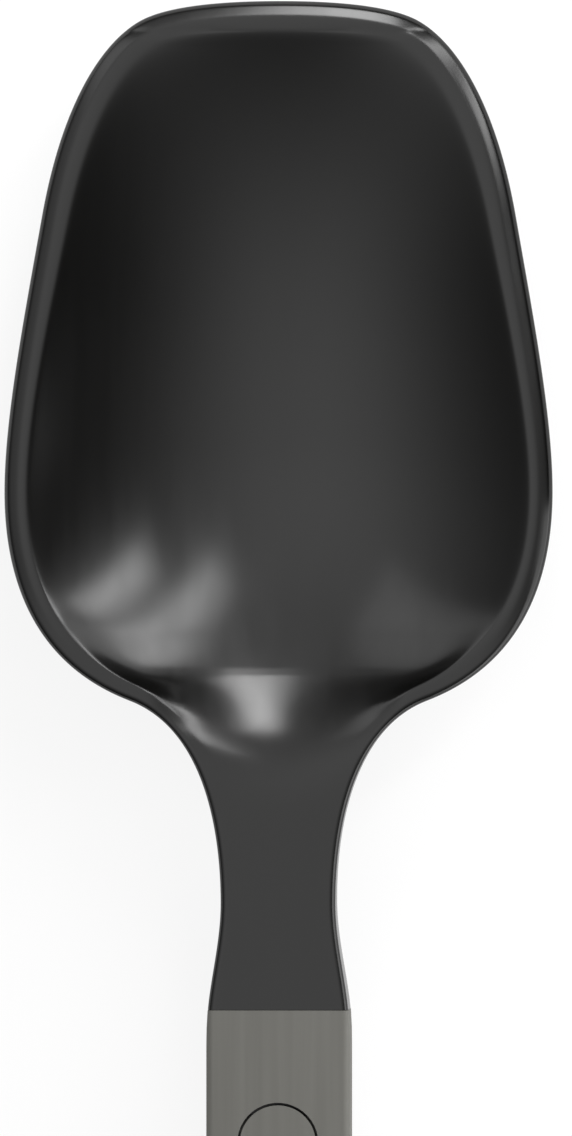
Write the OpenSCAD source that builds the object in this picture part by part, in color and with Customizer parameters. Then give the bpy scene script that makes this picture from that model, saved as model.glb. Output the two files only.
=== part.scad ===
// Long-handled serving spoon: a black nylon head plugs into a grey two-part handle.
// A round button on the handle frees the head. All sizes are in millimetres.
// The spoon lies on a table, bowl upward, tip toward +Y, with the origin under its middle.

/* [Bowl] */
// Width of the bowl at its widest place
bowl_w = 65; // [60:0.5:72]
// Length from the handle's mouth to the tip
head_len = 119.6; // [115:0.2:130]
// Distance from the mouth to the widest place
widest_y = 61.4; // [58:0.2:65]
// Depth of the hollow below the neck's face
bowl_depth = 12; // [10.5:0.5:15]
// Drop of the lip between the neck and the bowl
lip_drop = 6; // [4.8:0.1:7.6]
// Wall thickness of the bowl
bowl_wall = 2.8; // [2.2:0.1:3.4]
// Width of the rim beside the bowl
rim_w = 2.7; // [2.5:0.1:3.4]
// Width of the rim at the heel, where it meets the neck
heel_rim = 1.5; // [1.4:0.1:2.4]
// Width of the rim at the tip
tip_rim = 3.6; // [3:0.1:4.4]
// Thickness of the rim's edge
rim_t = 3; // [2.8:0.1:3.6]
// Width of the bevel along the rim's edge
bevel_w = 1.7; // [1.3:0.1:2]
// Drop of the bevel across its width
bevel_drop = 0.8; // [0.5:0.1:1]
// Drop of the rim at the tip below the neck
tip_drop = 3; // [0:0.5:6]
// Width of the front edge between its corners
tip_w = 31.6; // [28:0.2:35]

/* [Neck] */
// Narrowest width of the neck
neck_w = 13.6; // [12.6:0.2:15]
// Distance from the mouth to the narrowest place
neck_y = 12.6; // [11:0.2:15]
// Thickness of the neck behind the bowl
neck_t = 8; // [7:0.5:10]
// Distance from the mouth to the shoulders
shoulder_y = 36.6; // [34:0.2:39]

/* [Handle] */
// Width of the handle
handle_w = 17; // [16.5:0.5:20]
// Thickness of the handle
handle_t = 13; // [12.5:0.5:15]
// Length of the handle, mouth to tail
handle_len = 205; // [180:1:240]
// Wall thickness of both shells
shell_wall = 2; // [1.8:0.1:2.2]
// Edge radius of the front shell
front_r = 0.8; // [0.6:0.1:1.4]
// Edge radius of the back shell
back_r = 3.2; // [2:0.1:3.4]

/* [Release] */
// Diameter of the button
button_d = 9; // [8.4:0.1:9.4]
// Gap around the button
button_gap = 0.32; // [0.3:0.02:0.4]
// Distance from the mouth to the button's middle
button_y = 15.8; // [15:0.2:17]
// Stroke of the button
button_travel = 1.2; // [1:0.1:1.3]
// Length of the tang that enters the handle
tang_len = 38; // [34:1:42]

/* [Hanging] */
// Diameter of the hanging hole
hole_d = 7; // [5:0.5:8]

/* [Hidden] */
$fn = 64;

// Clearances
seam_gap = 0.06;
tang_clear = 0.15;
slide_gap = 0.4;
seat_gap = 0.05;
hook_play = 0.3;

// Heights below the front face, from the button down to the latch
saddle_t = 1;
leaf_t = 0.5;
leaf_gap = 0.3;
saddle_z = -shell_wall - seat_gap;
tang_top = saddle_z - saddle_t - button_travel - 0.3;
floor_z = -(handle_t - shell_wall);
leaf_bot = floor_z + button_travel + 0.4;
leaf_top = leaf_bot + leaf_t;
tang_bot = leaf_top + leaf_gap;
part_z = -handle_t / 2;

// Widths across the latch
bay_w = handle_w - 2 * shell_wall;
leg_t = 1.15;
tang_w = bay_w - 2 * (leg_t + slide_gap + 0.45);
leg_in = tang_w / 2 + slide_gap;
leg_out = leg_in + leg_t;
leaf_w = 7;
tooth_w = 4;
tooth_h = button_travel + leaf_gap - 0.1;
tooth_y = button_y - 3.6;
tooth_l = 1.7;

// Outline of the head, from the seam to the tip
flare_l = 4.2;
flare_in = 0.18;
seam_w = handle_w - 2 * flare_in;
shoulder_out = 10.8;
side_in = 4.4;
tip_bow = 2;
shoulder_x = neck_w / 2 + shoulder_out;
side_x = bowl_w / 2 - side_in;
side_y = widest_y + 0.562 * (head_len - widest_y);
tip_y = head_len - tip_bow;
KNOTS = [[seam_w / 2, 0], [neck_w / 2, neck_y], [shoulder_x, shoulder_y], [bowl_w / 2, widest_y],
         [side_x, side_y], [tip_w / 2, tip_y], [0, head_len]];
HEADING = [95, 90, 21, 90, 100, 156, 180];
PULL = [[0.30, 0.34], [0.255, 0.39], [0.44, 0.335], [0.26, 0.385], [0.565, 0.178], [0.276, 0.276]];
STEPS = [6, 12, 11, 8, 11, 5];

function heading(i) = [cos(HEADING[i]), sin(HEADING[i])];
function curve(i) = let (a = KNOTS[i], b = KNOTS[i + 1], l = norm(b - a))
    [a, a + PULL[i][0] * l * heading(i), b - PULL[i][1] * l * heading(i + 1), b];
function bez(c, t) = pow(1 - t, 3) * c[0] + 3 * pow(1 - t, 2) * t * c[1]
    + 3 * (1 - t) * t * t * c[2] + pow(t, 3) * c[3];
function bez_dir(c, t) = let (d = pow(1 - t, 2) * (c[1] - c[0]) + 2 * (1 - t) * t * (c[2] - c[1])
    + t * t * (c[3] - c[2])) d / norm(d);
function inward(d) = [-d[1], d[0]];
function ease(a, b, y) = let (t = min(1, max(0, (y - a) / (b - a)))) t * t * (3 - 2 * t);

// Stations along the outline: a point and its inward direction
STATIONS = concat(
    [for (i = [0:5]) for (k = [0:STEPS[i] - 1])
        [bez(curve(i), k / STEPS[i]), i + k == 0 ? [-1, 0] : inward(bez_dir(curve(i), k / STEPS[i]))]],
    [[[0, head_len], [0, -1]]]);
LAST = len(STATIONS) - 1;

// Heights along the head: the neck's face, the lip, the floor and the rise to the tip
heel_off = 12.9;
heel_l = 14;
low_off = 6;
neck_run = 14;
rim_run = 13.3;
heel_a = neck_y + heel_off;
heel_m = heel_a + heel_l;
low_y = widest_y + low_off;
tip_in = head_len - tip_rim;
neck_end = neck_y + neck_run;
rim_end = widest_y - rim_run;
roll = 0.62;
bulge = 2.2;
tip_bulge = 2.5;
flank_h = 1.2;
under_edge = 1.1;
bevel_r = 0.75;
bevel_soft = 0.25;
edge_soft = 0.25;
function soften(h, s) = (h + sqrt(h * h + s * s)) / 2;
function share(a, b, y) = min(1, max(0, (y - a) / (b - a)));
function rim_z(y) = let (a = heel_a + neck_run) -tip_drop * pow(max(0, (y - a) / (head_len - a)), 1.4);
function lip(a) = (a < roll ? a * a / (2 * roll) : a - roll / 2) / (1 - roll / 2);
function pool(a) = a * (2 - a);
function rise(y) = pow(max(0, (y - low_y) / (tip_in - low_y)), tip_bulge);
function hollow(y) = -rim_z(tip_in) * rise(y) + (1 - rise(y)) * (lip_drop * lip(share(heel_a, heel_m, y))
    + (bowl_depth - lip_drop) * pool(share(heel_m, low_y, y)));
function flank(y) = flank_h * ease(heel_a + 4, heel_a + 10, y) * (1 - ease(heel_m - 3, heel_m + 5, y));
function edge_t(y) = y < neck_end
    ? handle_t - (handle_t - neck_t) * ease(0, neck_end, y)
    : neck_t - (neck_t - rim_t) * ease(neck_end, rim_end, y);
function swell(y) = let (f = min(y, low_y))
    max(0, soften(hollow(f) + bowl_wall - edge_t(y), 3 * ease(neck_y, heel_a + 6, y)) + rim_z(f))
    * (1 - pow(share(low_y, head_len, y), 1.9));

// Columns across the head: bevelled edge, rim, inner edge, then straight across to the middle line
EDGE = [0, 0.03, 0.11, 0.24, 0.42, 0.7, 1, 1.25];
INNER = [-0.3, 0, 0.6];
RAYS = [0.08, 0.2, 0.36, 0.55, 0.77, 1];
BANDS = len(EDGE) + len(INNER);
COLS = BANDS + len(RAYS);
function out_y(i) = STATIONS[i][0][1];
function band_pt(i, d) = STATIONS[i][0] + d * STATIONS[i][1];
function rim(i) = heel_rim + (rim_w - heel_rim) * ease(shoulder_y - 6, shoulder_y + 6, out_y(i))
    + (tip_rim - rim_w) * ease(widest_y, head_len, out_y(i));
function bevelled(i) = ease(shoulder_y, widest_y - 8, out_y(i));
function edge_w(i) = front_r + (bevel_w - front_r) * bevelled(i);
function in_at(i) = max(rim(i), edge_w(i) * 1.25 + 0.5);
function band_d(i, c) = c < len(EDGE) ? edge_w(i) * EDGE[c]
    : c < BANDS ? in_at(i) + INNER[c - len(EDGE)] : 99;
function across(p, ray) = [p[0] * (1 - ray), p[1]];
function grid_pt(i, c) = c < BANDS ? band_pt(i, band_d(i, c))
    : across(band_pt(i, band_d(i, BANDS - 1)), RAYS[c - BANDS]);
OUTER_LINE = [for (i = [0:LAST]) [out_y(i), STATIONS[i][0][0]]];
INNER_LINE = [for (i = [0:LAST]) let (p = band_pt(i, rim(i))) [p[1], p[0]]];
function round_dip(d, r) = d >= r ? 0 : r - sqrt(r * r - (r - d) * (r - d));
function bevel_dip(d) = bevel_drop / bevel_w * soften(bevel_w - d, bevel_soft) + round_dip(d, bevel_r);
function edge_dip(i, d) = round_dip(d, front_r) * (1 - bevelled(i)) + bevel_dip(d) * bevelled(i);
function under_r(i) = min(back_r - (back_r - under_edge) * ease(neck_y, rim_end, out_y(i)),
                          edge_t(out_y(i)) - edge_dip(i, 0) - 0.15);
function section(u, y) = let (s = 1 - pow(u, bulge)) s > 0 ? pow(s, 2 - ease(heel_a + 4, heel_m, y)) : s;
function part_of(p, line) = p[0] / max(0.01, lookup(p[1], line));
function top_z(i, c) = let (p = grid_pt(i, c), y = p[1], u = min(1.25, part_of(p, INNER_LINE)), w = min(1, u),
                            h = hollow(y) + rim_z(y), side = flank(y) * (pow(w, bulge) - pow(w, 12)),
                            fall = h > 0 ? h * section(u, y) + side : h)
    rim_z(y) - edge_dip(i, band_d(i, c)) - soften(fall, edge_soft * ease(heel_a, heel_a + 8, y));
function low_z(i, c) = let (p = grid_pt(i, c), y = p[1], u = min(1, part_of(p, OUTER_LINE)))
    rim_z(y) - edge_t(y) + round_dip(band_d(i, c), under_r(i)) - swell(y) * (1 - pow(u, bulge));

TOP = [for (i = [0:LAST]) for (c = [0:COLS - 1]) [grid_pt(i, c)[0], grid_pt(i, c)[1], top_z(i, c)]];
LOW = [for (i = [0:LAST]) for (c = [0:COLS - 1]) [grid_pt(i, c)[0], grid_pt(i, c)[1], low_z(i, c)]];
table_z = min(-handle_t, min([for (p = LOW) p[2]]));

// Round tail of the handle
tail_r = handle_w / 2;
tail_y = handle_len - tail_r;
tail_block = 8;
length_all = head_len + handle_len;
shift_y = length_all / 2 - head_len;

// Fasteners
screw_d = 2.6;
screw_head_d = 4.8;
screw_head_h = 1.8;
screw_sink = 0.6;
boss_r = 3;
screw_back = 26;
leaf_screw_back = 8;
SCREW_AT = [tang_len + screw_back, 0.6 * handle_len, 0.81 * handle_len];
leaf_screw_y = tang_len + leaf_screw_back;
leaf_screw_d = 2;
eyelet_wall = 0.8;
lip_w = 1.5;
lip_t = 0.5;

module placed() {
  translate([0, shift_y, -table_z])
    children();
}

// A place on the handle's middle line, s along from the mouth
module at_handle(s) {
  translate([0, -s, part_z])
    children();
}

// Section of the handle, x across and y up from its middle line
module bar_section() {
  h = handle_t / 2;
  w = handle_w / 2;
  translate([-w, -h + back_r])
    square([2 * w, handle_t - front_r - back_r]);
  translate([-w + front_r, h - front_r - 1])
    square([2 * (w - front_r), front_r + 1]);
  translate([-w + back_r, -h])
    square([2 * (w - back_r), back_r + 1]);
  for (s = [-1, 1]) {
    translate([s * (w - front_r), h - front_r])
      circle(r = front_r);
    translate([s * (w - back_r), -h + back_r])
      circle(r = back_r);
  }
}

module half_section(up) {
  intersection() {
    bar_section();
    translate([-handle_w, up > 0 ? 0 : -handle_t])
      square([2 * handle_w, handle_t]);
  }
}

module wall_section(up) {
  bay_h = handle_t / 2 - shell_wall;
  difference() {
    half_section(up);
    translate([-bay_w / 2, up > 0 ? -1 : -bay_h])
      square([bay_w, bay_h + 1]);
  }
}

// The straight stretch and the round tail of one shell, with a flared mouth and a solid block at the tail
module shell_run(up) {
  at_handle(flare_l)
    rotate([90, 0, 0])
      linear_extrude(height = tail_y - flare_l)
        wall_section(up);
  intersection() {
    at_handle(seam_gap)
      rotate([90, 0, 0])
        linear_extrude(height = flare_l - seam_gap)
          wall_section(up);
    flare_disc(-1);
    flare_disc(1);
  }
  at_handle(tail_y)
    rotate([0, 0, 180])
      rotate_extrude(angle = 180)
        intersection() {
          half_section(up);
          translate([0, -handle_t])
            square([handle_w, 2 * handle_t]);
        }
  block_h = handle_t / 2 - shell_wall + 0.3;
  at_handle(tail_y)
    translate([-bay_w / 2 - 0.3, -2, up > 0 ? 0 : -block_h])
      cube([bay_w + 0.6, tail_block + 2, block_h]);
}

// A wide disc that trims one side of the mouth to a slight flare
module flare_disc(s) {
  r = flare_l * flare_l / (2 * flare_in) + flare_in / 2;
  translate([s * (handle_w / 2 - r), -flare_l, -handle_t - 1])
    cylinder(r = r, h = handle_t + 2, $fn = 360);
}

module block(x, y0, y1, z0, z1) {
  translate([-x, -y1, z0])
    cube([2 * x, y1 - y0, z1 - z0]);
}

// The room that the tang slides in
module tang_slot() {
  x = tang_w / 2 + tang_clear;
  block(x, -1, tang_len + 0.6, tang_bot - tang_clear, tang_top + tang_clear);
}

module eyelet_room() {
  at_handle(tail_y) {
    cylinder(d = hole_d + 2 * eyelet_wall + 2 * seat_gap, h = 2 * handle_t, center = true);
    for (s = [-1, 1])
      translate([0, 0, s * handle_t / 2])
        cylinder(d = hole_d + 2 * lip_w + 2 * eyelet_wall + 2 * seat_gap, h = 2 * lip_t, center = true);
  }
}

guide_y0 = 9;
guide_y1 = button_y + 7.4;
guide_y2 = tang_len + 3;

module handle_front_shell() {
  color([0.45, 0.44, 0.42])
    difference() {
      union() {
        shell_run(1);
        block(bay_w / 2 + 0.2, seam_gap, guide_y0, part_z, -shell_wall + 0.2);
        block(bay_w / 2 + 0.2, guide_y1, guide_y2, part_z, -shell_wall + 0.2);
        for (s = SCREW_AT)
          at_handle(s)
            cylinder(r = boss_r, h = handle_t / 2 - shell_wall + 0.2);
      }
      tang_slot();
      translate([0, -button_y, -shell_wall - 1])
        cylinder(d = button_d + 2 * button_gap, h = shell_wall + 2);
      for (s = SCREW_AT)
        at_handle(s)
          translate([0, 0, -1])
            cylinder(d = screw_d + 2 * seat_gap, h = handle_t / 2 - shell_wall + 0.6);
      eyelet_room();
    }
}

module handle_back_shell() {
  color([0.45, 0.44, 0.42])
    difference() {
      union() {
        shell_run(-1);
        block(bay_w / 2 + 0.2, seam_gap, guide_y0, floor_z - 0.2, part_z);
        block(bay_w / 2 + 0.2, guide_y1, guide_y2, floor_z - 0.2, part_z);
        for (s = SCREW_AT)
          at_handle(s)
            translate([0, 0, -handle_t / 2 + shell_wall - 0.2])
              cylinder(r = boss_r, h = handle_t / 2 - shell_wall + 0.2);
        translate([0, -leaf_screw_y, floor_z - 0.2])
          cylinder(r = leaf_w / 2 - 0.4, h = leaf_bot - floor_z + 0.2);
      }
      tang_slot();
      block(leaf_w / 2 + slide_gap, guide_y0 + 1, guide_y2 + 1, floor_z, tang_bot);
      for (s = SCREW_AT)
        at_handle(s) {
          translate([0, 0, -handle_t])
            cylinder(d = screw_d + 2 * slide_gap, h = 2 * handle_t);
          translate([0, 0, -handle_t / 2 - 1])
            cylinder(d = screw_head_d + slide_gap, h = 1 + screw_sink + screw_head_h);
        }
      translate([0, -leaf_screw_y, floor_z - shell_wall + 0.8])
        cylinder(d = leaf_screw_d + 2 * seat_gap, h = handle_t);
      eyelet_room();
    }
}

// The head's skin: the right half's grid and its mirror image share the middle line
function on_axis(i, c) = i == LAST || c == COLS - 1;
function pid(side, low, i, c) = (low ? 2 : 0) * len(TOP) + (side > 0 || on_axis(i, c) ? 0 : len(TOP))
    + i * COLS + (i == LAST ? min(c, BANDS - 1) : c);
function flip(p) = [-p[0], p[1], p[2]];
function tri(a, b, c) = a == b || b == c || a == c ? [] : [[a, b, c]];
function quad(a, b, c, d, turn) = turn ? concat(tri(a, b, c), tri(a, c, d))
    : concat(tri(a, c, b), tri(a, d, c));

module spoon_skin() {
  pts = concat(TOP, [for (p = TOP) flip(p)], LOW, [for (p = LOW) flip(p)]);
  skin = [for (side = [1, -1]) for (low = [false, true])
          for (i = [0:LAST - 1]) for (c = [0:COLS - 2])
            each quad(pid(side, low, i, c), pid(side, low, i, c + 1),
                      pid(side, low, i + 1, c + 1), pid(side, low, i + 1, c), (side > 0) != low)];
  edge = [for (side = [1, -1]) for (i = [0:LAST - 1])
            each quad(pid(side, false, i, 0), pid(side, false, i + 1, 0),
                      pid(side, true, i + 1, 0), pid(side, true, i, 0), side > 0)];
  cap = [for (side = [1, -1]) for (c = [0:COLS - 2])
            each quad(pid(side, false, 0, c), pid(side, true, 0, c),
                      pid(side, true, 0, c + 1), pid(side, false, 0, c + 1), side > 0)];
  polyhedron(points = pts, faces = concat(skin, edge, cap), convexity = 6);
}

module spoon_head() {
  color([0.06, 0.06, 0.06])
    difference() {
      union() {
        spoon_skin();
        block(tang_w / 2, -3, tang_len, tang_bot, tang_top);
      }
      block(tooth_w / 2 + hook_play, tooth_y - hook_play, tooth_y + tooth_l + hook_play,
            tang_bot - 1, leaf_top + tooth_h + 0.4);
    }
}

module release_button() {
  color([0.45, 0.44, 0.42]) {
    translate([0, -button_y, saddle_z - saddle_t])
      cylinder(d = button_d, h = -saddle_z + saddle_t);
    block(leg_out, button_y - 3.2, button_y + 3.2, saddle_z - saddle_t, saddle_z);
    for (s = [-1, 1])
      translate([s * (leg_in + leg_t / 2) - leg_t / 2, -button_y - 1.5, leaf_top + seat_gap])
        cube([leg_t, 3, saddle_z - leaf_top - seat_gap]);
  }
}

module latch_leaf() {
  color([0.75, 0.76, 0.78])
    difference() {
      union() {
        block(leaf_w / 2, tooth_y, leaf_screw_y + 4, leaf_bot, leaf_top);
        block(leg_out, button_y - 2, button_y + 2, leaf_bot, leaf_top);
        translate([-tooth_w / 2, 0, 0])
          rotate([90, 0, 90])
            linear_extrude(height = tooth_w)
              polygon([[-tooth_y, leaf_top - 0.1], [-tooth_y - tooth_l * 0.6, leaf_top + tooth_h],
                       [-tooth_y - tooth_l, leaf_top + tooth_h], [-tooth_y - tooth_l, leaf_top - 0.1]]);
      }
      translate([0, -leaf_screw_y, leaf_bot - 1])
        cylinder(d = leaf_screw_d + 2 * seat_gap, h = 3);
    }
}

module latch_screw() {
  color([0.62, 0.63, 0.65])
    difference() {
      union() {
        translate([0, -leaf_screw_y, leaf_top])
          cylinder(d = 2 * leaf_screw_d, h = 1.3);
        translate([0, -leaf_screw_y, floor_z - shell_wall + 1])
          cylinder(d = leaf_screw_d, h = leaf_top - floor_z + shell_wall - 0.9);
      }
      for (a = [0, 90])
        translate([0, -leaf_screw_y, leaf_top + 1.3])
          rotate([0, 0, a])
            cube([2.2, 0.5, 1.2], center = true);
    }
}

module shell_screws() {
  low = -handle_t / 2 + screw_sink;
  color([0.62, 0.63, 0.65])
    for (s = SCREW_AT)
      at_handle(s)
        difference() {
          union() {
            translate([0, 0, low])
              cylinder(d = screw_head_d, h = screw_head_h);
            translate([0, 0, low])
              cylinder(d = screw_d, h = handle_t - 2 * shell_wall - 0.4);
          }
          for (a = [0, 90])
            translate([0, 0, low])
              rotate([0, 0, a])
                cube([3, 0.6, 1.8], center = true);
        }
}

module hang_eyelet() {
  r = hole_d / 2;
  h = handle_t / 2;
  color([0.75, 0.76, 0.78])
    at_handle(tail_y)
      rotate_extrude() {
        translate([r, -h])
          square([eyelet_wall, handle_t]);
        translate([r, h - lip_t])
          square([eyelet_wall + lip_w - seat_gap, lip_t]);
        translate([r, -h])
          square([eyelet_wall + lip_w - seat_gap, lip_t]);
      }
}

placed() spoon_head();
placed() handle_front_shell();
placed() handle_back_shell();
placed() release_button();
placed() latch_leaf();
placed() latch_screw();
placed() shell_screws();
placed() hang_eyelet();
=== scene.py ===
import math

import bpy
import bmesh
import numpy as np
from mathutils import Matrix, Vector


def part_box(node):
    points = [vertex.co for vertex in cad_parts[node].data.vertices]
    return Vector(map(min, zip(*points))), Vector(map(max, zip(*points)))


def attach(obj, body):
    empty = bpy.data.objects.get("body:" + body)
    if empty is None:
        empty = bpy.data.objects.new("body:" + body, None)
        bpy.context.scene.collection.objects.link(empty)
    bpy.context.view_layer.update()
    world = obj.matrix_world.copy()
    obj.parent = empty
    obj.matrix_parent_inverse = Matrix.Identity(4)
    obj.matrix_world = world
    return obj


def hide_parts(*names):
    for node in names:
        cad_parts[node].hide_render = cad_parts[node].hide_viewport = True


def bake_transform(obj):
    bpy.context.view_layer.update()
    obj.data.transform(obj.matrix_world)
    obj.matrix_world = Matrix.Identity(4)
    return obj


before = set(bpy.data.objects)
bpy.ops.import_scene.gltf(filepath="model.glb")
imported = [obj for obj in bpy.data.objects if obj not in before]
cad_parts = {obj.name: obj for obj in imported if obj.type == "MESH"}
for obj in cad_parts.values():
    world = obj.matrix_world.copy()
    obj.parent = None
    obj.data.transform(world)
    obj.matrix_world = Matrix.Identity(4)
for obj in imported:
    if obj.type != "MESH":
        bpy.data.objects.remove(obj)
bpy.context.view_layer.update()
scene = bpy.context.scene
scene.view_settings.view_transform = "Standard"
print("frame loaded", sorted(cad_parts))

mm = 0.001
seamGap = 0.06 * mm
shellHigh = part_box("handle_front_shell")[1]
topZ = shellHigh[2]                 # front face of handle and neck
seamY = shellHigh[1] + seamGap      # where the black head meets the grey handle


def fromSeam(x, y, z):
    return x * mm, seamY + y * mm, topZ + z * mm    # mm from the seam's middle on the front face


def addObject(name, data):
    obj = bpy.data.objects.new(name, data)
    scene.collection.objects.link(obj)
    return obj


# small helpers for shader nodes

noiseSpan = (0.3, 0.7)    # where most of a noise node's values lie


def addNode(tree, kind, inputs=None, **props):
    node = tree.nodes.new(kind)
    for key, value in props.items():
        setattr(node, key, value)
    for key, value in (inputs or {}).items():
        if hasattr(value, "is_output"):
            tree.links.new(value, node.inputs[key])
        else:
            node.inputs[key].default_value = value
    return node


def mathNode(tree, operation, *values, **props):
    return addNode(tree, "ShaderNodeMath", dict(enumerate(values)), operation=operation, **props).outputs[0]


def emptyMaterial(name):
    mat = bpy.data.materials.new(name)
    mat.use_nodes = True
    tree = mat.node_tree
    tree.nodes.clear()
    return mat, tree, tree.nodes.new("ShaderNodeOutputMaterial")


def newMaterial(name):
    mat, tree, out = emptyMaterial(name)
    bsdf = tree.nodes.new("ShaderNodeBsdfPrincipled")
    tree.links.new(bsdf.outputs[0], out.inputs[0])
    return mat, tree, bsdf


def spread(tree, value, low, high, toLow, toHigh):
    node = addNode(tree, "ShaderNodeMapRange", {0: value, 1: low, 2: high, 3: toLow, 4: toHigh})
    return node.outputs[0]


def noiseOf(tree, stretch, size, detail):
    coord = addNode(tree, "ShaderNodeTexCoord")
    place = addNode(tree, "ShaderNodeMapping", {"Vector": coord.outputs["Object"], "Scale": stretch})
    noise = addNode(tree, "ShaderNodeTexNoise", {"Vector": place.outputs[0], "Scale": size, "Detail": detail})
    return noise.outputs["Fac"]


def tintBy(tree, bsdf, share, dark, pale):
    tint = addNode(tree, "ShaderNodeMix", {"Factor": share, 6: dark, 7: pale}, data_type="RGBA")
    tree.links.new(tint.outputs[2], bsdf.inputs["Base Color"])


def roughenBy(tree, bsdf, noise, gloss):
    tree.links.new(spread(tree, noise, *noiseSpan, *gloss), bsdf.inputs["Roughness"])


def bumpBy(tree, bsdf, height, bump):
    strength, distance = bump
    node = addNode(tree, "ShaderNodeBump", {"Height": height, "Strength": strength, "Distance": distance})
    tree.links.new(node.outputs[0], bsdf.inputs["Normal"])


def shadeFlanksByFacing(tree, bsdf, look):
    # painted shade: walls that face sideways get a lower specular level than the top and bottom faces, so their
    # edges don't pick up the white floor's reflection
    normal = addNode(tree, "ShaderNodeNewGeometry").outputs["Normal"]
    normalZ = addNode(tree, "ShaderNodeSeparateXYZ", {0: normal}).outputs[2]
    level = mathNode(tree, "ABSOLUTE", normalZ)
    shine = spread(tree, level, *look["flankLevel"], look["flankShine"], look["shine"])
    tree.links.new(shine, bsdf.inputs["Specular IOR Level"])


# finishes: sizes of noise are per metre, a bump is its strength and height in metres

nylonLook = {
    "dark": (0.0012, 0.0012, 0.0011, 1), "pale": (0.0021, 0.0020, 0.0018, 1), "gloss": (0.19, 0.23),
    "cloudSize": 60.0, "grainSize": 2600.0, "grainBump": (0.04, 0.00002),
    "scuffSize": 420.0, "scuffStretch": (1, 0.08, 1),
    "shine": 0.5, "flankShine": 0.07, "flankLevel": (0.3, 0.65),
}


def blackNylon():
    mat, tree, bsdf = newMaterial("blackNylon")
    cloud = noiseOf(tree, (1, 1, 1), nylonLook["cloudSize"], 4.0)
    grain = noiseOf(tree, (1, 1, 1), nylonLook["grainSize"], 2.0)
    scuff = noiseOf(tree, nylonLook["scuffStretch"], nylonLook["scuffSize"], 3.0)
    tintBy(tree, bsdf, cloud, nylonLook["dark"], nylonLook["pale"])
    roughenBy(tree, bsdf, scuff, nylonLook["gloss"])
    bumpBy(tree, bsdf, grain, nylonLook["grainBump"])
    # painted shade on the side walls: lower specular level where they face sideways
    shadeFlanksByFacing(tree, bsdf, nylonLook)
    return mat


handleLook = {
    "dark": (0.100, 0.098, 0.088, 1), "pale": (0.116, 0.114, 0.103, 1), "gloss": (0.52, 0.62),
    "cloudSize": 90.0, "cloudStretch": (1, 0.4, 1),
    "scratchSize": 900.0, "scratchStretch": (1, 0.03, 1), "scratchBump": (0.08, 0.00003),
    "shine": 0.4, "flankShine": 0.1, "flankLevel": (0.3, 0.65),
}


def greyShell(name):
    mat, tree, bsdf = newMaterial(name)
    streak = noiseOf(tree, handleLook["scratchStretch"], handleLook["scratchSize"], 4.0)
    cloud = noiseOf(tree, handleLook["cloudStretch"], handleLook["cloudSize"], 3.0)
    tintBy(tree, bsdf, spread(tree, streak, *noiseSpan, 0.0, 1.0), handleLook["dark"], handleLook["pale"])
    roughenBy(tree, bsdf, cloud, handleLook["gloss"])
    bumpBy(tree, bsdf, streak, handleLook["scratchBump"])
    # painted shade on the side walls: lower specular level where they face sideways
    shadeFlanksByFacing(tree, bsdf, handleLook)
    return mat


steelLook = {"lineSize": 1400.0, "lineTint": (0.9, 0.9, 0.92), "gloss": (0.24, 0.36)}


def brushedSteel(name, tone, along):
    mat, tree, bsdf = newMaterial(name)
    lines = noiseOf(tree, along, steelLook["lineSize"], 4.0)
    tintBy(tree, bsdf, lines, (*[tone * t for t in steelLook["lineTint"]], 1), (tone, tone, tone, 1))
    roughenBy(tree, bsdf, lines, steelLook["gloss"])
    bsdf.inputs["Metallic"].default_value = 1.0
    return mat


# head: bowl and neck from one outline, in mm from the seam, front face at zero

headShape = {
    # outline, from the seam to the tip on the right side
    "bowlWidth": 65.0, "headLength": 119.6, "widestAt": 61.4,
    "seamWidth": 16.64, "neckWidth": 13.6, "neckAt": 12.6, "shoulderAt": 36.6, "shoulderOut": 10.8,
    "sideShare": 0.562, "sideTuck": 4.4, "tipWidth": 31.6, "tipCrown": 2.0,
    "heading": (95, 90, 21, 90, 100, 156, 180),
    "pull": ((0.30, 0.34), (0.255, 0.39), (0.44, 0.335), (0.26, 0.385), (0.565, 0.178), (0.276, 0.276)),
    # flat rim and the edges around it
    "rimWidth": 2.7, "heelRim": 1.5, "tipRim": 3.6, "rimSpread": 6.0, "rimLeast": 0.5,
    "bevel": 1.7, "bevelDrop": 0.8, "bevelRound": 0.75, "bevelSoft": 0.35, "bevelFull": 8.0,
    "edgeRound": 0.8, "edgeSoft": 0.25, "softRun": 8.0,
    # hollow: the lip by the neck, the pool, and the rise to the tip
    "hollowDepth": 12.0, "lipDrop": 6.0, "lipFrom": 12.9, "lipRun": 14.0, "rollShare": 0.62, "lowShift": 6.0,
    "floorSoft": 1.0, "tipDrop": 3.0, "tipDropPower": 1.4, "bulge": 2.2, "tipBulge": 2.5,
    "flank": 1.2, "flankPower": 12, "flankIn": (4.0, 10.0), "flankOut": (-3.0, 5.0), "outLimit": 1.25,
    "lipBlend": 3.0, "blendOut": (-6.0, -1.0), "blendRings": (0.4, 0.75, 1.0), "blendTurns": 8,
    # underside
    "wall": 2.78, "handleThick": 13.0, "neckThick": 8.0, "rimThick": 3.0, "neckRun": 14.0, "rimRun": 13.3,
    "backRound": 3.2, "rimBackRound": 1.1, "swellSoft": 3.0, "swellRun": 6.0, "swellFade": 1.9,
    # mesh
    "steps": (20, 46, 60, 40, 60, 30), "rays": 34, "leastHalf": 0.01, "sharpAngle": 50.0, "weld": 0.0001,
    "edgeSteps": (0, 0.008, 0.03, 0.065, 0.11, 0.17, 0.24, 0.32, 0.4, 0.5, 0.62, 0.75, 0.88, 1.0, 1.12, 1.25),
    "rimSteps": (0.5, 1.0), "rimStop": 0.4, "innerSteps": (-0.3, -0.2, -0.1, 0.0, 0.1, 0.2, 0.35, 0.6, 1.0),
}


def ease(a, b, y):
    t = np.clip((y - a) / (b - a), 0, 1)
    return t * t * (3 - 2 * t)


def soften(h, soft):
    return (h + np.sqrt(h * h + soft * soft)) / 2


def heading(degrees):
    return np.array((math.cos(math.radians(degrees)), math.sin(math.radians(degrees))))


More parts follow.
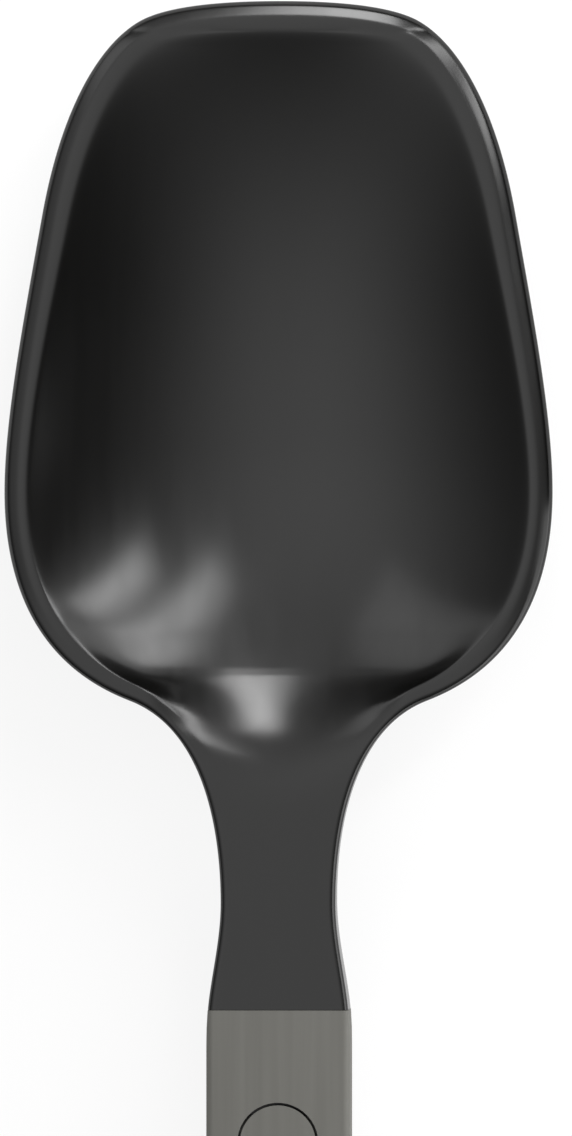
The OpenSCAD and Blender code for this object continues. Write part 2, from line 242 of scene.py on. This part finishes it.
def headOutline(s):
    half = s["bowlWidth"] / 2
    sideAt = s["widestAt"] + s["sideShare"] * (s["headLength"] - s["widestAt"])
    knots = [(s["seamWidth"] / 2, 0), (s["neckWidth"] / 2, s["neckAt"]),
             (s["neckWidth"] / 2 + s["shoulderOut"], s["shoulderAt"]), (half, s["widestAt"]),
             (half - s["sideTuck"], sideAt), (s["tipWidth"] / 2, s["headLength"] - s["tipCrown"]),
             (0, s["headLength"])]
    points, inward = [], []
    for i, count in enumerate(s["steps"]):
        a, b = np.array(knots[i], float), np.array(knots[i + 1], float)
        span = np.linalg.norm(b - a)
        c = a + s["pull"][i][0] * span * heading(s["heading"][i])
        d = b - s["pull"][i][1] * span * heading(s["heading"][i + 1])
        for k in range(count):
            t = k / count
            points.append((1 - t) ** 3 * a + 3 * (1 - t) ** 2 * t * c + 3 * (1 - t) * t * t * d + t ** 3 * b)
            run = (1 - t) ** 2 * (c - a) + 2 * (1 - t) * t * (d - c) + t * t * (b - d)
            run /= np.linalg.norm(run)
            inward.append(np.array((-run[1], run[0])))
    inward[0] = np.array((-1.0, 0.0))    # square to the seam's end
    points.append(np.array((0.0, s["headLength"])))
    inward.append(np.array((0.0, -1.0)))
    return np.array(points), np.array(inward)


def headSurfaces(s):
    outline, inward = headOutline(s)
    oy = outline[:, 1]
    length, shoulder, bulge = s["headLength"], s["shoulderAt"], s["bulge"]
    heelA = s["neckAt"] + s["lipFrom"]
    heelM = heelA + s["lipRun"]
    lowAt = s["widestAt"] + s["lowShift"]
    tipIn = length - s["tipRim"]
    neckEnd = s["neckAt"] + s["neckRun"]
    rimEnd = s["widestAt"] - s["rimRun"]
    rim = s["heelRim"]
    rim = rim + (s["rimWidth"] - s["heelRim"]) * ease(shoulder - s["rimSpread"], shoulder + s["rimSpread"], oy)
    rim = rim + (s["tipRim"] - s["rimWidth"]) * ease(s["widestAt"], length, oy)

    def rimZ(y):
        return -s["tipDrop"] * np.clip((y - heelM) / (length - heelM), 0, None) ** s["tipDropPower"]

    def sink(y):
        lip = np.clip((y - heelA) / (heelM - heelA), 0, 1)
        roll = s["rollShare"]
        lip = np.where(lip < roll, lip ** 2 / (2 * roll), lip - roll / 2) / (1 - roll / 2)
        pool = 1 - (1 - np.clip((y - heelM) / (lowAt - heelM), 0, 1)) ** 2
        rise = np.clip((y - lowAt) / (tipIn - lowAt), 0, None) ** s["tipBulge"]
        low = s["lipDrop"] * lip + (s["hollowDepth"] - s["lipDrop"]) * pool
        return low * (1 - rise) - rimZ(tipIn) * rise

    def sinkSoft(y):
        return 0.25 * sink(y - s["floorSoft"]) + 0.5 * sink(y) + 0.25 * sink(y + s["floorSoft"])

    def edgeThick(y):
        neck = s["handleThick"] - (s["handleThick"] - s["neckThick"]) * ease(0, neckEnd, y)
        bowl = s["neckThick"] - (s["neckThick"] - s["rimThick"]) * ease(neckEnd, rimEnd, y)
        return np.where(y < neckEnd, neck, bowl)

    bevelled = ease(shoulder, s["widestAt"] - s["bevelFull"], oy)
    underR = s["backRound"] - (s["backRound"] - s["rimBackRound"]) * ease(s["neckAt"], rimEnd, oy)

    # columns: edge round, flat rim, inner edge, then straight across to the mid-line
    edgeW = s["edgeRound"] + (s["bevel"] - s["edgeRound"]) * bevelled
    edgeIn = edgeW * s["edgeSteps"][-1]
    inAt = np.maximum(rim, edgeIn + s["rimLeast"])
    band = [edgeW * f for f in s["edgeSteps"]]
    band += [edgeIn + (inAt - s["rimStop"] - edgeIn) * f for f in s["rimSteps"]]
    band += [inAt + e for e in s["innerSteps"]]
    band = np.array(band).T
    bandXY = outline[:, None, :] + band[..., None] * inward[:, None, :]
    ends = bandXY[:, -1, :]
    middle = np.stack([np.zeros(len(ends)), ends[:, 1]], 1)
    rays = np.linspace(0, 1, s["rays"] + 1)[1:]
    rayXY = ends[:, None, :] + (middle - ends)[:, None, :] * rays[None, :, None]
    xy = np.concatenate([bandXY, rayXY], 1)
    d = np.concatenate([band, np.repeat(band[:, -1:], len(rays), 1)], 1)
    x, y = np.abs(xy[..., 0]), xy[..., 1]

    def roundDip(radius):
        inside = np.clip(radius - d, 0, radius)
        return radius - np.sqrt(radius ** 2 - inside ** 2)

    bevelDip = s["bevelDrop"] / s["bevel"] * soften(s["bevel"] - d, s["bevelSoft"]) + roundDip(s["bevelRound"])
    edgeDip = roundDip(s["edgeRound"]) * (1 - bevelled[:, None]) + bevelDip * bevelled[:, None]

    # hollow: a round-bottomed section across, at the depth of the mid-line
    innerLine = outline + rim[:, None] * inward
    flankA, flankB = [heelA + k for k in s["flankIn"]]
    flankC, flankD = [heelM + k for k in s["flankOut"]]

    def hollowAt(x, y):
        halfWidth = np.maximum(np.interp(y, innerLine[:, 1], innerLine[:, 0]), s["leastHalf"])
        out = np.clip(np.abs(x) / halfWidth, 0, s["outLimit"])
        depth = sinkSoft(y) + rimZ(y)
        flank = s["flank"] * ease(flankA, flankB, y) * (1 - ease(flankC, flankD, y))
        wall = np.minimum(out, 1)
        section = 1 - out ** bulge
        smooth = np.where(section > 0, np.abs(section) ** (2 - ease(flankA, heelM, y)), section)
        h = depth * smooth + flank * (wall ** bulge - wall ** s["flankPower"])
        return soften(np.where(depth > 0, h, depth), s["edgeSoft"] * ease(heelA, heelA + s["softRun"], y))

    # the lip's start is blended into the neck: the mean of rings around each point
    blendA, blendB = [heelM + k for k in s["blendOut"]]
    blend = s["lipBlend"] * (1 - ease(blendA, blendB, y))
    fall, count = hollowAt(x, y), 1
    for r in s["blendRings"]:
        for t in np.linspace(0, 2 * math.pi, s["blendTurns"], endpoint=False):
            fall = fall + hollowAt(x + r * blend * math.cos(t), y + r * blend * math.sin(t))
            count += 1
    topSide = rimZ(y) - edgeDip - fall / count

    # underside follows the hollow at the wall's thickness
    across = np.clip(x / np.maximum(np.interp(y, oy, outline[:, 0]), s["leastHalf"]), 0, 1)
    fore = np.minimum(y, lowAt)
    swellSoft = s["swellSoft"] * ease(s["neckAt"], heelA + s["swellRun"], y)
    swell = soften(sink(fore) + s["wall"] - edgeThick(y), swellSoft) + rimZ(fore)
    fade = 1 - np.clip((y - lowAt) / (length - lowAt), 0, 1) ** s["swellFade"]
    swell = np.clip(swell, 0, None) * fade
    lowSide = rimZ(y) - edgeThick(y) + roundDip(underR[:, None]) - swell * (1 - across ** bulge)
    return xy, topSide, lowSide


def buildHead(s):
    xy, topSide, lowSide = headSurfaces(s)
    rows, cols = topSide.shape
    mesh = bpy.data.meshes.new("spoonHead")
    bm = bmesh.new()
    grid = {}
    for low, heights in ((0, topSide), (1, lowSide)):
        for side in (1, -1):
            for i in range(rows):
                for c in range(cols):
                    onAxis = i == rows - 1 or c == cols - 1
                    if side < 0 and onAxis:
                        grid[low, side, i, c] = grid[low, 1, i, c]
                        continue
                    x, y = xy[i, c]
                    grid[low, side, i, c] = bm.verts.new(fromSeam(side * x, y, heights[i, c]))

    def face(*keys):
        ring = []
        for k in keys:
            if grid[k] not in ring:
                ring.append(grid[k])
        if len(ring) > 2:
            bm.faces.new(ring)

    for low in (0, 1):
        for side in (1, -1):
            for i in range(rows - 1):
                for c in range(cols - 1):
                    face((low, side, i, c), (low, side, i, c + 1),
                         (low, side, i + 1, c + 1), (low, side, i + 1, c))
    for side in (1, -1):    # outer edge, then the end at the seam
        for i in range(rows - 1):
            face((0, side, i, 0), (0, side, i + 1, 0), (1, side, i + 1, 0), (1, side, i, 0))
        for c in range(cols - 1):
            face((0, side, 0, c), (1, side, 0, c), (1, side, 0, c + 1), (0, side, 0, c + 1))
    bmesh.ops.remove_doubles(bm, verts=bm.verts, dist=s["weld"] * mm)    # the rays meet in one point at the tip
    bmesh.ops.recalc_face_normals(bm, faces=bm.faces)
    for f in bm.faces:
        f.smooth = True
    bm.to_mesh(mesh)
    bm.free()
    mesh.set_sharp_from_angle(angle=math.radians(s["sharpAngle"]))
    return addObject("spoonHead", mesh)


nylon = blackNylon()
spoonHead = buildHead(headShape)
spoonHead.data.materials.append(nylon)
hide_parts("spoon_head")
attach(spoonHead, "head")
print("head built", len(spoonHead.data.vertices), "points")


# tang under the neck, with the notch that the latch tooth drops into

tangShape = {
    "width": 9.0, "top": -4.55, "bottom": -8.6, "length": 38.0, "root": 2.0, "chamfer": 0.5, "chamferSteps": 3,
    "notchFrom": 11.9, "notchTo": 14.2, "notchWidth": 4.6, "notchTop": -7.1, "cutBelow": 2.0,
}


def boxMesh(name, low, high):
    mesh = bpy.data.meshes.new(name)
    bm = bmesh.new()
    bmesh.ops.create_cube(bm, size=1.0)
    size = [high[k] - low[k] for k in range(3)]
    middle = [(high[k] + low[k]) / 2 for k in range(3)]
    bmesh.ops.transform(bm, matrix=Matrix.Translation(middle) @ Matrix.Diagonal((*size, 1)), verts=bm.verts)
    bm.to_mesh(mesh)
    bm.free()
    return addObject(name, mesh)


def applyModifiers(obj):
    bpy.context.view_layer.update()
    graph = bpy.context.evaluated_depsgraph_get()
    mesh = bpy.data.meshes.new_from_object(obj.evaluated_get(graph))
    obj.modifiers.clear()
    obj.data = mesh


def buildTang(s):
    half, notchHalf = s["width"] / 2, s["notchWidth"] / 2
    blade = boxMesh("headTang", fromSeam(-half, -s["length"], s["bottom"]), fromSeam(half, s["root"], s["top"]))
    notch = boxMesh("notchCutter", fromSeam(-notchHalf, -s["notchTo"], s["bottom"] - s["cutBelow"]),
                    fromSeam(notchHalf, -s["notchFrom"], s["notchTop"]))
    bevel = blade.modifiers.new("chamfer", "BEVEL")
    bevel.width = s["chamfer"] * mm
    bevel.segments = s["chamferSteps"]
    cut = blade.modifiers.new("notch", "BOOLEAN")
    cut.object = notch
    cut.operation = "DIFFERENCE"
    applyModifiers(blade)
    bpy.data.objects.remove(notch)
    return blade


headTang = buildTang(tangShape)
headTang.data.materials.append(nylon)
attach(headTang, "head")
print("tang built")


# CAD nodes keep their shapes and get their finishes

nodeFinish = {
    "handle_front_shell": greyShell("frontShellGrey"),
    "handle_back_shell": greyShell("backShellGrey"),
    "release_button": greyShell("buttonGrey"),
    "latch_leaf": brushedSteel("springStrip", 0.55, (1, 0.02, 1)),
    "latch_screw": brushedSteel("leafScrewSteel", 0.5, (1, 1, 0.1)),
    "shell_screws": brushedSteel("shellScrewSteel", 0.5, (1, 1, 0.1)),
    "hang_eyelet": brushedSteel("eyeletSteel", 0.6, (1, 1, 0.05)),
}
for name, mat in nodeFinish.items():
    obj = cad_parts[name]
    obj.data.materials.clear()
    obj.data.materials.append(mat)
print("finishes given to", len(nodeFinish), "nodes")


# spring leaf cut into slices from where it is clamped to its free front end, which the button presses down;
# places in mm behind the seam

leafBend = {"clampedAt": 42.4, "freeAt": 18.0, "slices": 24, "weld": 0.001}


def buildLeaf(s):
    weld = s["weld"] * mm
    bm = bmesh.new()
    bm.from_mesh(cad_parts["latch_leaf"].data)
    bmesh.ops.remove_doubles(bm, verts=bm.verts, dist=weld)
    for back in np.linspace(s["clampedAt"], s["freeAt"], s["slices"]):
        bmesh.ops.bisect_plane(bm, geom=bm.verts[:] + bm.edges[:] + bm.faces[:], dist=weld,
                               plane_co=(0, seamY - back * mm, 0), plane_no=(0, 1, 0))
    bmesh.ops.recalc_face_normals(bm, faces=bm.faces)
    mesh = bpy.data.meshes.new("springLeaf")
    bm.to_mesh(mesh)
    bm.free()
    return addObject("springLeaf", mesh)


springLeaf = buildLeaf(leafBend)
springLeaf.data.materials.append(nodeFinish["latch_leaf"])
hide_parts("latch_leaf")
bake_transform(springLeaf)
print("leaf built", len(springLeaf.data.vertices), "points")


# floor, white to the camera and in reflections apart from the shadow on it

floorLook = {"size": 12.0, "height": -0.0002, "tone": (0.85, 0.85, 0.85, 1), "whiteShare": 0.86}


def buildFloor(s):
    half, z = s["size"] / 2, s["height"]
    mesh = bpy.data.meshes.new("floor")
    mesh.from_pydata([(-half, -half, z), (half, -half, z), (half, half, z), (-half, half, z)],
                     [], [(0, 1, 2, 3)])
    floor = addObject("floor", mesh)
    mat, tree, out = emptyMaterial("paleFloor")
    matt = addNode(tree, "ShaderNodeBsdfDiffuse", {"Color": s["tone"]})
    glow = addNode(tree, "ShaderNodeEmission", {"Color": (1, 1, 1, 1), "Strength": 1.0})
    path = addNode(tree, "ShaderNodeLightPath").outputs
    seen = mathNode(tree, "ADD", path["Is Camera Ray"], path["Is Glossy Ray"])
    seen = mathNode(tree, "ADD", seen, path["Is Transmission Ray"], use_clamp=True)
    white = mathNode(tree, "MULTIPLY", seen, s["whiteShare"])
    mix = addNode(tree, "ShaderNodeMixShader", {0: white, 1: matt.outputs[0], 2: glow.outputs[0]})
    tree.links.new(mix.outputs[0], out.inputs[0])
    mesh.materials.append(mat)


# sky that is brightest around one direction

skyLook = {"strength": 1.374, "axis": (-0.21, 0.189, 0.959), "power": 5.4}


def buildSky(s):
    world = bpy.data.worlds.new("studioSky")
    scene.world = world
    world.use_nodes = True
    tree = world.node_tree
    tree.nodes.clear()
    out = tree.nodes.new("ShaderNodeOutputWorld")
    coord = addNode(tree, "ShaderNodeTexCoord")
    facing = addNode(tree, "ShaderNodeVectorMath", {0: coord.outputs["Generated"], 1: s["axis"]},
                     operation="DOT_PRODUCT")
    rise = spread(tree, facing.outputs["Value"], -1.0, 1.0, 0.0, 1.0)
    rise = mathNode(tree, "POWER", rise, s["power"])
    rise = mathNode(tree, "MULTIPLY", rise, s["strength"])
    back = addNode(tree, "ShaderNodeBackground", {"Color": (1, 1, 1, 1), "Strength": rise})
    tree.links.new(back.outputs[0], out.inputs[0])


# lamps: a strip has its lower and upper end, as turn and rise in degrees seen from the bowl,
# its width in metres and its power; a box has its place and aim in mm from the seam,
# its size in metres and its power

lampLook = {
    "reach": 1.2, "bowlMiddle": (0, 50, -6), "layers": (0.5, 1.0, 1.5), "layerLength": 0.4,
    "strips": {"sideStrip": ((35, 21), (32, 44), 0.13, 4.1),
               "cornerStrip": ((48, 20), (61, 57), 0.12, 5.9),
               "lowStrip": ((36, 9), (55, 11), 0.20, 1.2),
               "leftStrip": ((138, 8), (132, 44), 0.25, 1.8)},
    "boxes": {"tipBox": ((16, 231, 90), (0, 50, -6), (0.034, 0.075), 0.23),
              "neckCard": ((60, -8, 10), (0, -8, 4), (0.09, 0.026), 0.05)},
}


def towards(around, rise):
    around, rise = math.radians(around), math.radians(rise)
    return Vector((math.cos(around) * math.cos(rise), math.sin(around) * math.cos(rise), math.sin(rise)))


def softbox(name, place, aim, long, size, power):
    back = (place - aim).normalized()
    side = long.cross(back).normalized()
    turn = Matrix((side, back.cross(side), back)).transposed()
    layers, share = lampLook["layers"], lampLook["layerLength"]
    for layer in layers:    # a bright middle that fades to the edges
        lamp = bpy.data.lights.new(name, "AREA")
        lamp.shape = "RECTANGLE"
        lamp.size, lamp.size_y = size[0] * layer, size[1] * (1 - share + share * layer)
        lamp.energy = power * layer / sum(layers)
        obj = addObject(name, lamp)
        obj.matrix_world = Matrix.Translation(place) @ turn.to_4x4()
        obj.visible_camera = False


def buildLamps(s):
    bowlMiddle = Vector(fromSeam(*s["bowlMiddle"]))
    for name, (low, high, wide, power) in s["strips"].items():
        low, high = towards(*low) * s["reach"], towards(*high) * s["reach"]
        softbox(name, bowlMiddle + (low + high) / 2, bowlMiddle, high - low, (wide, (high - low).length), power)
    for name, (place, aim, size, power) in s["boxes"].items():
        softbox(name, Vector(fromSeam(*place)), Vector(fromSeam(*aim)), Vector((0, 0, 1)), size, power)


buildFloor(floorLook)
buildSky(skyLook)
buildLamps(lampLook)
print("studio lit")


# camera over the photo's middle, a little to the right

cameraView = {
    "photoSize": (572, 1136), "seamPixel": (277.75, 1010), "pixel": 65 / 549,    # mm to one pixel
    "lens": 600.0, "sensor": 36.0, "tiltRight": 2.0, "clipEnd": 100.0,
}


def buildCamera(s):
    camera = bpy.data.cameras.new("photoCamera")
    camera.sensor_fit = "VERTICAL"
    camera.sensor_height = s["sensor"]
    camera.lens = s["lens"]
    camera.clip_end = s["clipEnd"]
    cameraObj = addObject("photoCamera", camera)
    wide, high = s["photoSize"]
    seamX, seamRow = s["seamPixel"]
    aim = Vector(fromSeam((wide / 2 - seamX) * s["pixel"], (seamRow - high / 2) * s["pixel"], 0))
    distance = high * s["pixel"] * mm * s["lens"] / s["sensor"]
    tilt = math.radians(s["tiltRight"])
    cameraObj.location = aim + distance * Vector((math.sin(tilt), 0, math.cos(tilt)))
    cameraObj.rotation_euler = (0, tilt, 0)
    scene.camera = cameraObj
    print("camera at", round(distance, 3), "m")


buildCamera(cameraView)
